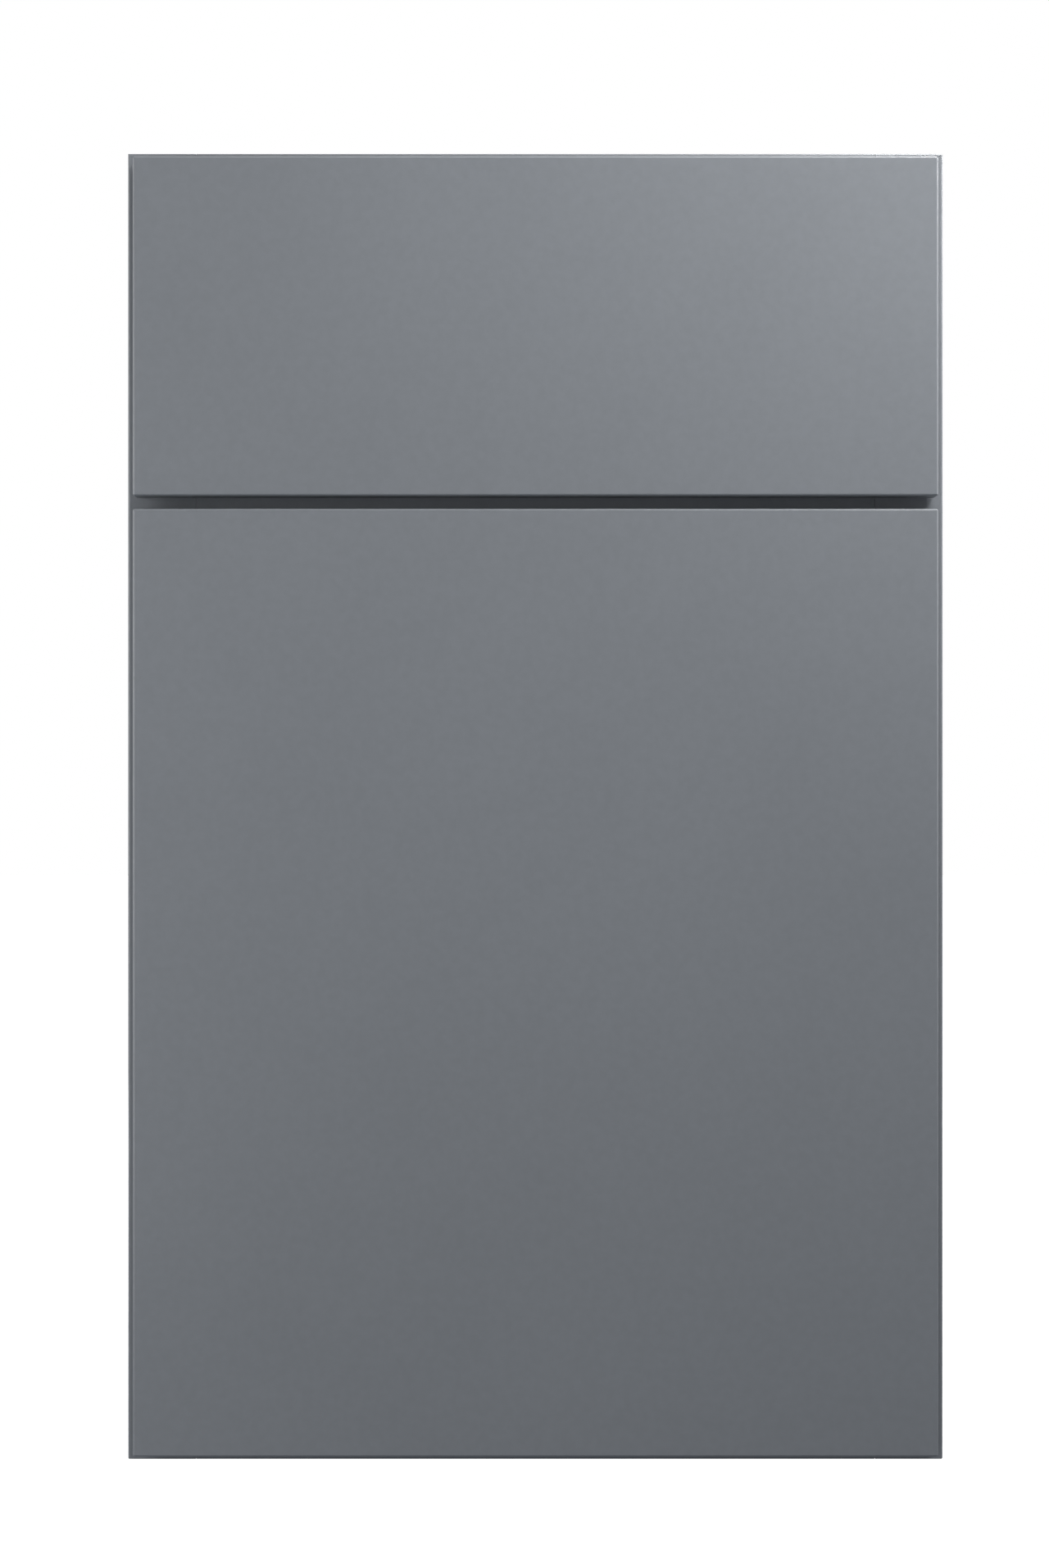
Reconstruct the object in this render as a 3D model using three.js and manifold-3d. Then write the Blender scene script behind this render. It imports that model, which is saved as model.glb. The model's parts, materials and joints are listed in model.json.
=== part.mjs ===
// A framed storage cabinet: one drawer over one door, on a plywood case with a hardwood face frame.
// Units are millimetres. X runs to the right, Y to the back and Z up. The origin is on the floor, under the
// middle of the cabinet, and the drawer and the door face -Y.
import * as THREE from "three";
import { mergeVertices } from "three/addons/utils/BufferGeometryUtils.js";
import Module from "manifold-3d";

const wasm = await Module();
wasm.setup();

// ---------------------------------------------------------------- driving dimensions

const GLUE = 0.2; // gap at a glued or housed joint
const CLEAR = 0.3; // gap round a screw, a pin or a loose piece

const FRAME = { width: 457.2, height: 732.6, thick: 19, stile: 38.1, rail: 38.1 };
const CASE = { depth: 590.6, panel: 12.7, inset: 3.2, housing: 6.35, back: 6.35, backLift: 6, hangRail: 89 };
const FRONT = { thick: 19, standOff: 2.5, reveal: 4.7, between: 7.2, drawerHeight: 188.8, arris: 1.2 };
const SHELF = { thick: 19, band: 1.2, endPlay: 2, hole: 5, pitch: 32, firstHole: 110, holes: 11, used: 5 };
const BOX = { length: 533.4, height: 114, board: 15.9, sidePlay: 5.15, lift: 16.05, recess: 12.7 };
const BASE = { thick: 6.35, groove: 6.35, runnerWay: 39 };
const TAIL = { count: 4, length: 12.7, tip: 19, root: 14.5 };
const RUNNER = { sheet: 1.2, base: 1.5, inner: 10, beyond: 31 };
const HATS = { cabinet: 4.6, middle: 7.1, drawer: 9.8 }; // half widths of the runner's nested members
const HINGE = { cupRadius: 17.2, cupEdge: 20.5, pinEdge: 7.8, pinDepth: 9.3, fromEnd: 89, halfWidth: 5.2 };

// Stations along Y, from the front faces to the wall.
const DEPTH = FRONT.thick + FRONT.standOff + FRAME.thick + CASE.depth;
const Y_FACE = -DEPTH / 2;
const Y_FRONT_BACK = Y_FACE + FRONT.thick;
const Y_FRAME = Y_FRONT_BACK + FRONT.standOff;
const Y_CASE = Y_FRAME + FRAME.thick;
const Y_WALL = DEPTH / 2;
const Y_RAILS = Y_WALL - 19;
const Y_BACK = Y_RAILS - CASE.back - GLUE;

// Stations along X, from the middle outwards.
const X_FRAME = FRAME.width / 2;
const X_OPENING = X_FRAME - FRAME.stile;
const X_SIDE = X_FRAME - CASE.inset;
const X_INSIDE = X_SIDE - CASE.panel;
const X_TONGUE = X_INSIDE + CASE.housing - GLUE;
const X_FRONT = X_FRAME - FRONT.reveal;
const X_BOX = X_OPENING - BOX.sidePlay;
const X_BOX_IN = X_BOX - BOX.board;

// Stations along Z, from the floor up.
const Z_DRAWER_TOP = FRAME.height - FRONT.reveal;
const Z_DRAWER = Z_DRAWER_TOP - FRONT.drawerHeight;
const Z_DOOR_TOP = Z_DRAWER - FRONT.between;
const Z_MID = (Z_DRAWER + Z_DOOR_TOP) / 2;
const Z_OPENING = Z_MID + FRAME.rail / 2;
const Z_BOX = Z_OPENING + BOX.lift;
const Z_BASE = Z_BOX + BOX.recess;
const Z_SHELF = SHELF.firstHole + SHELF.used * SHELF.pitch + SHELF.hole / 2;
const Z_TOP_PANEL = FRAME.height - CASE.panel;

// ---------------------------------------------------------------- materials

const finish = (color, roughness, metalness = 0) =>
  new THREE.MeshStandardMaterial({ color, roughness, metalness });
const SLATE = finish(0x777b80, 0.4);
const PLYWOOD = finish(0xdcc29c, 0.45);
const MAPLE = finish(0xe3cba6, 0.4);
const ZINC = finish(0xb4b8bb, 0.35, 1);
const NICKEL = finish(0xc9c7c2, 0.25, 1);
const SCREW = finish(0xa9a59c, 0.35, 1);
const GREY_PLASTIC = finish(0x6f7275, 0.5);
const ORANGE_PLASTIC = finish(0xd9682a, 0.45);
const BUMPER = finish(0xe6e8e6, 0.2);

// ---------------------------------------------------------------- solids

/** A closed three.js geometry as a manifold solid. */
function solidOf(geometry) {
  const bare = geometry.clone();
  bare.deleteAttribute("normal");
  bare.deleteAttribute("uv");
  const merged = mergeVertices(bare, 1e-4);
  const mesh = new wasm.Mesh({
    numProp: 3,
    vertProperties: merged.attributes.position.array,
    triVerts: new Uint32Array(merged.index.array),
  });
  return new wasm.Manifold(mesh);
}

/** A manifold solid as a three.js geometry. */
function geometryOf(solid) {
  const mesh = solid.getMesh();
  const geometry = new THREE.BufferGeometry();
  geometry.setAttribute("position", new THREE.BufferAttribute(mesh.vertProperties, 3));
  geometry.setIndex(new THREE.BufferAttribute(mesh.triVerts, 1));
  geometry.computeVertexNormals();
  return geometry;
}

const join = (...geometries) => geometryOf(geometries.map(solidOf).reduce((a, b) => a.add(b)));
const cut = (body, ...tools) =>
  geometryOf(tools.map(solidOf).reduce((a, b) => a.subtract(b), solidOf(body)));
const common = (a, b) => geometryOf(solidOf(a).intersect(solidOf(b)));

/** A box from its limits along each axis. */
function box([x0, x1], [y0, y1], [z0, z1]) {
  const geometry = new THREE.BoxGeometry(x1 - x0, y1 - y0, z1 - z0);
  return geometry.translate((x0 + x1) / 2, (y0 + y1) / 2, (z0 + z1) / 2);
}

// The directions that a drawing's right, up and outward axes take in each plane.
const AXES = {
  xy: [new THREE.Vector3(1, 0, 0), new THREE.Vector3(0, 1, 0), new THREE.Vector3(0, 0, 1)],
  yz: [new THREE.Vector3(0, 1, 0), new THREE.Vector3(0, 0, 1), new THREE.Vector3(1, 0, 0)],
  xz: [new THREE.Vector3(1, 0, 0), new THREE.Vector3(0, 0, 1), new THREE.Vector3(0, -1, 0)],
};

/** A flat outline in a plane, extruded square to it between two stations. */
function prism(outline, plane, [from, to]) {
  const shape = new THREE.Shape(outline.map(([u, v]) => new THREE.Vector2(u, v)));
  const solid = new THREE.ExtrudeGeometry(shape, { depth: to - from, bevelEnabled: false });
  solid.translate(0, 0, plane === "xz" ? -to : from);
  return solid.applyMatrix4(new THREE.Matrix4().makeBasis(...AXES[plane]));
}

/** A round bar along the x, y or z axis, between two stations and through a point of the other two axes. */
function bar(axis, radius, [from, to], [u, v], sides = 12) {
  const geometry = new THREE.CylinderGeometry(radius, radius, to - from, sides);
  const middle = (from + to) / 2;
  if (axis === "x") return geometry.rotateZ(-Math.PI / 2).translate(middle, u, v);
  if (axis === "y") return geometry.translate(u, middle, v);
  return geometry.rotateX(Math.PI / 2).translate(u, v, middle);
}

/** A slab that faces -Y, with its front and back arrises eased. */
function slab([x0, x1], [y0, y1], [z0, z1], arris) {
  const shape = new THREE.Shape();
  shape.moveTo(x0 + arris, z0 + arris);
  shape.lineTo(x1 - arris, z0 + arris);
  shape.lineTo(x1 - arris, z1 - arris);
  shape.lineTo(x0 + arris, z1 - arris);
  const solid = new THREE.ExtrudeGeometry(shape, {
    depth: y1 - y0 - 2 * arris,
    bevelThickness: arris,
    bevelSize: arris,
    bevelSegments: 2,
  });
  solid.translate(0, 0, -y1 + arris);
  return solid.applyMatrix4(new THREE.Matrix4().makeBasis(...AXES.xz));
}

/** A screw whose head rests on the plane through the origin and whose point is down -Y. */
function screw(headRadius, headHeight, shankRadius, length) {
  const profile = [
    [0, -length],
    [shankRadius, -length + 2 * shankRadius],
    [shankRadius, 0],
    [headRadius, 0],
    [headRadius, headHeight / 2],
    [headRadius * 0.7, headHeight],
    [0, headHeight],
  ];
  return new THREE.LatheGeometry(profile.map(([r, y]) => new THREE.Vector2(r, y)), 12);
}

function place(parent, name, geometry, material, position = [0, 0, 0]) {
  const mesh = new THREE.Mesh(geometry, material);
  mesh.name = name;
  mesh.position.set(...position);
  parent.add(mesh);
  return mesh;
}

/** Both hands of a fitting: its builder draws the left one, and the right one is its mirror image. */
function bothHands(parent, build) {
  for (const hand of ["left", "right"]) {
    const group = new THREE.Group();
    if (hand === "right") group.scale.x = -1;
    parent.add(group);
    build(group, hand);
  }
}

// ---------------------------------------------------------------- case

const PAST = 5; // how far a cutting tool runs past the material
const PIN_INSET = 50;
const PIN_DEPTH = 10;
const PIN_ROWS = [Y_CASE + PIN_INSET, Y_BACK - PIN_INSET];

function sidePanel() {
  const inner = [-X_INSIDE - CASE.housing, -X_INSIDE + 1];
  const tools = [
    box(inner, [Y_CASE - PAST, Y_WALL + PAST], [FRAME.rail - CASE.panel - GLUE, FRAME.rail + GLUE]),
    box(inner, [Y_CASE - PAST, Y_WALL + PAST], [Z_TOP_PANEL - GLUE, FRAME.height + PAST]),
    box(inner, [Y_BACK - GLUE, Y_RAILS], [-PAST, FRAME.height + PAST]),
  ];
  for (const y of PIN_ROWS)
    for (let i = 0; i < SHELF.holes; i++) {
      const z = SHELF.firstHole + i * SHELF.pitch;
      tools.push(bar("x", SHELF.hole / 2, [-X_INSIDE - PIN_DEPTH, -X_INSIDE + 1], [y, z], 8));
    }
  const board = box([-X_SIDE, -X_INSIDE], [Y_CASE + GLUE, Y_WALL], [0, FRAME.height]);
  return cut(board, ...tools);
}

function buildCase(cabinet) {
  bothHands(cabinet, (group, hand) => place(group, `side_panel_${hand}`, sidePanel(), SLATE));
  const tongue = [-X_TONGUE, X_TONGUE];
  const floor = box(tongue, [Y_CASE + GLUE, Y_BACK - GLUE], [FRAME.rail - CASE.panel, FRAME.rail]);
  place(cabinet, "bottom_panel", floor, PLYWOOD);
  const lid = box(tongue, [Y_CASE + GLUE, Y_WALL], [Z_TOP_PANEL, FRAME.height]);
  place(cabinet, "top_panel", lid, SLATE);
  const back = box(tongue, [Y_BACK, Y_BACK + CASE.back], [CASE.backLift, Z_TOP_PANEL - GLUE]);
  place(cabinet, "back_panel", back, PLYWOOD);
  const railBottoms = {
    top: Z_TOP_PANEL - GLUE - CASE.hangRail,
    middle: Z_BASE - CASE.hangRail / 2,
    bottom: 0,
  };
  for (const [where, z] of Object.entries(railBottoms)) {
    const width = X_INSIDE - GLUE;
    const rail = box([-width, width], [Y_RAILS + GLUE, Y_WALL], [z, z + CASE.hangRail]);
    place(cabinet, `hanging_rail_${where}`, rail, PLYWOOD);
  }
}

// ---------------------------------------------------------------- face frame

const HINGE_HEIGHTS = {
  lower: FRONT.reveal + HINGE.fromEnd,
  upper: Z_DOOR_TOP - HINGE.fromEnd,
};
const ARM_SCREW = { y: (Y_FRAME + Y_CASE) / 2, spread: 14, hole: 2, holeDepth: 17 };
// A joining screw's pocket. It stops short of the rail's end and leaves some wood there.
const POCKET = { radius: 4.75, slope: 15, reach: 60, left: 11, spread: 9.5 };

/** The slanted pockets that the frame's joining screws sit in, at both ends of a rail. */
function pockets(z) {
  const slope = THREE.MathUtils.degToRad(POCKET.slope);
  const tools = [];
  for (const side of [-1, 1])
    for (const dz of [-POCKET.spread, POCKET.spread]) {
      const pocket = new THREE.CylinderGeometry(POCKET.radius, POCKET.radius, POCKET.reach, 10);
      pocket.translate(0, POCKET.reach / 2 + POCKET.left, 0).rotateZ(side * (Math.PI / 2 - slope));
      tools.push(pocket.translate(side * X_OPENING, (Y_FRAME + Y_CASE) / 2, z + dz));
    }
  return tools;
}

function buildFrame(cabinet) {
  const depth = [Y_FRAME, Y_CASE];
  const bore = [-X_OPENING - ARM_SCREW.holeDepth, -X_OPENING + 1];
  const pilots = [];
  for (const z of Object.values(HINGE_HEIGHTS))
    for (const dz of [-ARM_SCREW.spread, ARM_SCREW.spread])
      pilots.push(bar("x", ARM_SCREW.hole, bore, [ARM_SCREW.y, z + dz], 10));
  const stile = box([-X_FRAME, -X_OPENING], depth, [0, FRAME.height]);
  place(cabinet, "stile_left", cut(stile, ...pilots), SLATE);
  place(cabinet, "stile_right", box([X_OPENING, X_FRAME], depth, [0, FRAME.height]), SLATE);
  const railMiddles = {
    top: FRAME.height - FRAME.rail / 2,
    middle: Z_MID,
    bottom: FRAME.rail / 2,
  };
  for (const [where, z] of Object.entries(railMiddles)) {
    const width = X_OPENING - GLUE;
    const rail = box([-width, width], depth, [z - FRAME.rail / 2, z + FRAME.rail / 2]);
    place(cabinet, `rail_${where}`, cut(rail, ...pockets(z)), SLATE);
  }
}

// ---------------------------------------------------------------- shelf

const SHELF_FRONT = Y_CASE + 13;

/** A spoon pin: a shank in the side panel and a tongue under the shelf. */
function shelfPin() {
  const top = SHELF.hole / 2 - 0.4;
  return join(
    bar("x", SHELF.hole / 2 - CLEAR, [-9, 1], [0, 0], 10),
    box([CLEAR, 1.6], [-4, 4], [-6.5, top]),
    box([CLEAR, 10], [-4, 4], [top - 1.6, top]),
  );
}

function buildShelf(cabinet) {
  const width = X_INSIDE - SHELF.endPlay;
  const height = [Z_SHELF, Z_SHELF + SHELF.thick];
  const board = box([-width, width], [SHELF_FRONT, Y_BACK - 4], height);
  place(cabinet, "shelf", board, PLYWOOD);
  const bandBack = SHELF_FRONT - GLUE;
  const band = box([-width, width], [bandBack - SHELF.band, bandBack], height);
  place(cabinet, "shelf_edge_band", band, MAPLE);
  bothHands(cabinet, (group, hand) => {
    PIN_ROWS.forEach((y, i) => {
      const name = `shelf_pin_${["front", "back"][i]}_${hand}`;
      place(group, name, shelfPin(), NICKEL, [-X_INSIDE, y, Z_SHELF - SHELF.hole / 2]);
    });
  });
}

// ---------------------------------------------------------------- drawer

const Y_BOX = Y_FRONT_BACK + CLEAR;
const Y_BOX_END = Y_BOX + BOX.length;
const Y_BOX_IN = Y_BOX + BOX.board;
const Y_BOX_END_IN = Y_BOX_END - BOX.board;
const FIX = { x: 110, z: Z_BASE + 44, clearance: 2.3, pilot: 2 }; // screws that hold the drawer front
const HOOK = { x: X_BOX_IN - 10, z: Z_BASE + 12.7, hole: 3.3, peg: 2.8 }; // holds the drawer down at the back

const tailHeights = Array.from(
  { length: TAIL.count },
  (_, i) => Z_BOX + (BOX.height * (i + 0.5)) / TAIL.count,
);

/** One dovetail from its root line, pointing along Y by `way`, grown all round by `grow`. */
function tail(y, way, z, grow = 0) {
  const tip = y + way * (TAIL.length + grow);
  const root = TAIL.root / 2 + grow;
  const wide = TAIL.tip / 2 + grow;
  return way > 0
    ? [[y, z - root], [tip, z - wide], [tip, z + wide], [y, z + root]]
    : [[y, z + root], [tip, z + wide], [tip, z - wide], [y, z - root]];
}

function drawerSide() {
  const from = Y_BOX_IN + GLUE;
  const to = Y_BOX_END_IN - GLUE;
  const top = Z_BOX + BOX.height;
  const outline = [
    [from, Z_BOX],
    [to, Z_BOX],
    ...tailHeights.flatMap((z) => tail(to, 1, z)),
    [to, top],
    [from, top],
    ...tailHeights.toReversed().flatMap((z) => tail(from, -1, z)),
  ];
  const board = prism(outline, "yz", [-X_BOX, -X_BOX_IN]);
  return cut(board, baseGroove([-X_BOX_IN - BASE.groove, -X_BOX_IN + 1], [Y_BOX - PAST, Y_BOX_END + PAST]));
}

/** The groove that holds the drawer's bottom, cut with a little play. */
const baseGroove = (x, y) => box(x, y, [Z_BASE - GLUE, Z_BASE + BASE.thick + GLUE]);

/** The front or back board of the drawer box, with sockets for the tails of both sides. */
function drawerEnd(y, way) {
  const face = way > 0 ? [y, y + BOX.board] : [y - BOX.board, y];
  const board = box([-X_BOX, X_BOX], face, [Z_BOX, Z_BOX + BOX.height]);
  const sockets = [-1, 1].flatMap((side) =>
    tailHeights.map((z) => {
      const ends = side < 0 ? [-X_BOX - 1, -X_BOX_IN + GLUE] : [X_BOX_IN - GLUE, X_BOX + 1];
      return prism(tail(y - way * GLUE, way, z, GLUE), "yz", ends);
    }),
  );
  const groove = way > 0 ? [y - 1, y + BASE.groove] : [y - BASE.groove, y + 1];
  return cut(board, ...sockets, baseGroove([-X_BOX_IN, X_BOX_IN], groove));
}

function buildDrawerBox(drawer) {
  bothHands(drawer, (group, hand) => place(group, `drawer_side_${hand}`, drawerSide(), MAPLE));
  const fixings = [-1, 1].map((s) =>
    bar("y", FIX.clearance, [Y_BOX - 1, Y_BOX_IN + 1], [s * FIX.x, FIX.z], 10),
  );
  place(drawer, "drawer_box_front", cut(drawerEnd(Y_BOX_IN, -1), ...fixings), MAPLE);
  const runnerWays = [-1, 1].flatMap((s) => {
    const ends = [X_BOX_IN - BASE.runnerWay, X_BOX_IN + 0.1];
    const notch = s < 0 ? [-ends[1], -ends[0]] : ends;
    return [
      box(notch, [Y_BOX_END_IN - 1, Y_BOX_END + 1], [Z_BOX - 1, Z_BASE - GLUE]),
      bar("y", HOOK.hole, [Y_BOX_END - 10, Y_BOX_END + 1], [s * HOOK.x, HOOK.z], 12),
    ];
  });
  place(drawer, "drawer_box_back", cut(drawerEnd(Y_BOX_END_IN, 1), ...runnerWays), MAPLE);
  const lip = BASE.groove - GLUE; // how far the bottom reaches into its grooves
  const wide = X_BOX_IN + lip;
  const corners = [-1, 1].flatMap((s) =>
    [[Y_BOX_IN - 10, Y_BOX_IN + CLEAR], [Y_BOX_END_IN - CLEAR, Y_BOX_END_IN + 10]].map((y) => {
      const x = s < 0 ? [-wide - 1, -X_BOX_IN + CLEAR] : [X_BOX_IN - CLEAR, wide + 1];
      return box(x, y, [Z_BASE - 1, Z_BASE + BASE.thick + 1]);
    }),
  );
  const sheet = box([-wide, wide], [Y_BOX_IN - lip, Y_BOX_END_IN + lip], [Z_BASE, Z_BASE + BASE.thick]);
  place(drawer, "drawer_bottom", cut(sheet, ...corners), PLYWOOD);
}

function buildDrawerFront(drawer) {
  const pilots = [-1, 1].map((s) =>
    bar("y", FIX.pilot, [Y_FRONT_BACK - 12, Y_FRONT_BACK + 1], [s * FIX.x, FIX.z], 10),
  );
  const face = slab(
    [-X_FRONT, X_FRONT],
    [Y_FACE, Y_FRONT_BACK],
    [Z_DRAWER, Z_DRAWER_TOP],
    FRONT.arris,
  );
  place(drawer, "drawer_front", cut(face, ...pilots), SLATE);
  bothHands(drawer, (group, hand) => {
    const fixing = screw(5, 2.4, 1.7, BOX.board + 11);
    place(group, `drawer_front_screw_${hand}`, fixing, SCREW, [-FIX.x, Y_BOX_IN + GLUE, FIX.z]);
    const corner = [-X_OPENING - 17, Y_FRONT_BACK + 0.1, Z_DRAWER_TOP - 14];
    place(group, `drawer_bumper_${hand}`, bumper(), BUMPER, corner);
  });
}

/** A clear dome that keeps a front from knocking on the frame. */
function bumper() {
  const radius = 4.8;
  const height = FRONT.standOff - 0.3;
  const profile = [
    [0, 0],
    [radius, 0],
    [radius * 0.94, height * 0.5],
    [radius * 0.66, height * 0.88],
    [0, height],
  ];
  return new THREE.LatheGeometry(profile.map(([r, y]) => new THREE.Vector2(r, y)), 14);
}

// ---------------------------------------------------------------- drawer runners, left hand

// Each sliding member is a hat of bent sheet over the one below it.
const X_RUNNER = -X_BOX_IN + 11; // middle line of the nested hats
const Z_RUNNER = Z_OPENING + 1;

/** A bent sheet with the section of an upturned channel. */
function hat(halfWidth, [bottom, top], sheet, along) {
  const inner = halfWidth - sheet;
  const outline = [
    [-halfWidth, bottom],
    [-inner, bottom],
    [-inner, top - sheet],
    [inner, top - sheet],
    [inner, bottom],
    [halfWidth, bottom],
    [halfWidth, top],
    [-halfWidth, top],
  ];
  return prism(outline.map(([x, z]) => [x + X_RUNNER, z]), "xz", along);
}

function cabinetRail() {
  const top = Z_RUNNER + RUNNER.base;
  const outer = -X_OPENING + GLUE;
  const inner = X_RUNNER + RUNNER.inner;
  const half = HATS.cabinet;
  const way = [Y_FRAME + 1, Y_BOX_END + RUNNER.beyond];
  const hatWay = [Y_BOX_IN + 3, Y_BOX_END + 3];
  const flat = (x, y) => box(x, y, [Z_RUNNER, top]);
  const rail = join(
    flat([outer, X_RUNNER - half + 0.5], way),
    flat([X_RUNNER + half - 0.5, inner], way),
    flat([outer, inner], [way[0], hatWay[0] + 1]),
    flat([outer, inner], [hatWay[1] - 1, way[1]]),
    box([outer, outer + RUNNER.base], way, [Z_RUNNER, Z_RUNNER + 13]),
    hat(half, [Z_RUNNER, Z_BASE - 5.3], RUNNER.base, hatWay),
  );
  return cut(rail, bar("x", 2.2, [outer - 1, outer + 4], [Y_FRAME + 9.5, Z_RUNNER + 7], 10));
}

const middleRail = () =>
  hat(HATS.middle, [Z_BOX - 8, Z_BASE - 3], RUNNER.sheet, [Y_BOX_IN + 4, Y_BOX_END - 3]);

function drawerRail() {
  const top = Z_BASE - 0.4;
  const end = Y_BOX_END + 2;
  return join(
    hat(HATS.drawer, [Z_BOX - 4.6, top], RUNNER.sheet, [Y_BOX_IN + 1.2, end]),
    box([X_RUNNER - 7, X_RUNNER + 7], [end - 1.5, end], [top - RUNNER.sheet, HOOK.z + 7]),
    bar("y", HOOK.peg, [Y_BOX_END - 8, end - 1], [-HOOK.x, HOOK.z], 12),
  );
}

/** The plastic socket that carries the back end of a runner. */
function rearBracket() {
  const x = [-X_OPENING + 2.5, X_RUNNER + 13];
  const back = Y_BACK - GLUE;
  const body = join(
    box(x, [Y_BOX_END + 9, back], [Z_RUNNER - 5, Z_RUNNER + 6]),
    box(x, [back - 3.5, back], [Z_RUNNER - 10, Z_RUNNER + 36]),
    box([x[0], x[0] + 3], [back - 24, back], [Z_RUNNER, Z_RUNNER + 26]),
  );
  const slot = [Z_RUNNER - CLEAR, Z_RUNNER + RUNNER.base + CLEAR];
  const railEnd = Y_BOX_END + RUNNER.beyond + CLEAR;
  return cut(body, box([x[0] - 1, X_RUNNER + RUNNER.inner + CLEAR], [Y_BOX_END, railEnd], slot));
}

/** The soft-close unit that lies on the runner's base, outside its hat. */
function softCloser() {
  const bottom = Z_RUNNER + RUNNER.base + CLEAR;
  const [from, to] = [Y_BOX_END - 195, Y_BOX_END - 20];
  const outline = [
    [from, bottom],
    [to, bottom],
    [to, bottom + 7],
    [to - 8, bottom + 11],
    [from + 26, bottom + 11],
    [from, bottom + 5],
  ];
  return prism(outline, "yz", [-X_BOX_IN - 17, -X_BOX_IN - 3]);
}

const LEVER = { x: X_RUNNER + 19, y: Y_BOX_IN + 34, boss: 4.6 };

/** The catch that clips the drawer box to its runner, screwed up under the drawer's bottom. */
function frontCatch() {
  const front = Y_BOX_IN + 0.6;
  const from = X_RUNNER + 10.4;
  const to = from + 43;
  const ceiling = Z_BASE - CLEAR;
  return join(
    box([from, to], [front, Y_BOX_IN + 44], [ceiling - 3, ceiling]),
    box([from, from + 4.5], [front, Y_BOX_IN + 20], [ceiling - 12, ceiling - 1]),
    box([to - 9, to], [front, Y_BOX_IN + 8], [ceiling - 10, ceiling - 1]),
    bar("z", LEVER.boss, [ceiling - 11.5, ceiling - 1], [LEVER.x, LEVER.y], 14),
    bar("z", LEVER.boss + 1.6, [ceiling - 12.4, ceiling - 11.3], [LEVER.x, LEVER.y], 14),
  );
}

/** The finger lever that turns about the catch's boss to let the drawer go. */
function catchLever() {
  const [low, high] = [Z_BASE - 11, Z_BASE - 3.9];
  const y = LEVER.y;
  const arm = [
    [LEVER.x, y - 6],
    [LEVER.x + 14, y - 16],
    [LEVER.x + 22, y - 18],
    [LEVER.x + 22, y - 13],
    [LEVER.x + 15, y - 9],
    [LEVER.x + 4, y + 6],
  ];
  const body = join(
    prism(arm, "xy", [low, high]),
    bar("z", LEVER.boss + 2.6, [low, high], [LEVER.x, y], 16),
  );
  return cut(body, bar("z", LEVER.boss + 0.4, [low - 1, high + 1], [LEVER.x, y], 16));
}

function buildRunners(cabinet, drawer) {
  bothHands(cabinet, (group, hand) => {
    place(group, `runner_cabinet_rail_${hand}`, cabinetRail(), ZINC);
    place(group, `runner_middle_rail_${hand}`, middleRail(), ZINC);
    place(group, `runner_rear_bracket_${hand}`, rearBracket(), GREY_PLASTIC);
    place(group, `soft_closer_${hand}`, softCloser(), GREY_PLASTIC);
  });
  bothHands(drawer, (group, hand) => {
    place(group, `runner_drawer_rail_${hand}`, drawerRail(), ZINC);
    place(group, `drawer_catch_${hand}`, frontCatch(), GREY_PLASTIC);
    place(group, `catch_lever_${hand}`, catchLever(), ORANGE_PLASTIC);
  });
}

// ---------------------------------------------------------------- hinges

// A hinge is drawn round its pin: x inwards from the pin, y to the back, z up.
const PIN = { x: -X_FRONT + HINGE.pinEdge, y: Y_FRONT_BACK - HINGE.pinDepth };
const CUP_X = HINGE.cupEdge - HINGE.pinEdge;
const CUP = { depth: 12.5, floor: 0.8, wall: 1, rim: 1.4, flange: 1.6, facets: 28 };
const LUG = { inner: 6.4, outer: 9.4 }; // the cup's two lugs that hold the pin, above and below its middle
const CUP_SCREW = { x: CUP_X + 9.3, spread: 25.5, pilot: 1.95 };
const SCREW_HOLE = 2.1;
const EYE = { pin: 1.1, hole: 1.4, radius: 2.1 };

function hingeCup() {
  const back = HINGE.pinDepth; // the door's back face
  const bottom = back - CUP.depth;
  const floor = bottom + CUP.floor;
  const rim = back + CUP.rim;
  const ear = [
    [CUP_X + 1, -31],
    [CUP_X + 14, -31],
    [CUP_X + 17, -28],
    [CUP_X + 17, 28],
    [CUP_X + 14, 31],
    [CUP_X + 1, 31],
    [CUP_X - 2, 28],
    [CUP_X - 2, -28],
  ];
  const shell = join(
    bar("y", HINGE.cupRadius, [bottom, rim], [CUP_X, 0], CUP.facets),
    bar("y", HINGE.cupRadius + CUP.flange, [back + GLUE, rim], [CUP_X, 0], CUP.facets),
    prism(ear, "xz", [back + GLUE, rim]),
  );
  const hollow = bar("y", HINGE.cupRadius - CUP.wall, [floor, rim + 1], [CUP_X, 0], CUP.facets);
  const screwHoles = [-1, 1].map((s) =>
    bar("y", SCREW_HOLE, [back - 1, rim + 1], [CUP_SCREW.x, s * CUP_SCREW.spread], 10),
  );
  const inWall = bar("y", HINGE.cupRadius - CUP.wall / 2, [bottom, rim], [CUP_X, 0], CUP.facets);
  const lugs = [[-LUG.outer, -LUG.inner], [LUG.inner, LUG.outer]].map((z) =>
    common(box([-3.4, 3.4], [floor - CUP.floor / 2, 2.6], z), inWall),
  );
  const bored = bar("z", EYE.hole, [-LUG.outer - CLEAR, LUG.outer + CLEAR], [0, 0], 12);
  const doorEdge = box([-9, CUP_X - HINGE.cupRadius], [back, rim + 1], [-20, 20]);
  return cut(join(cut(shell, hollow, ...screwHoles), ...lugs), bored, doorEdge);
}

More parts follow.
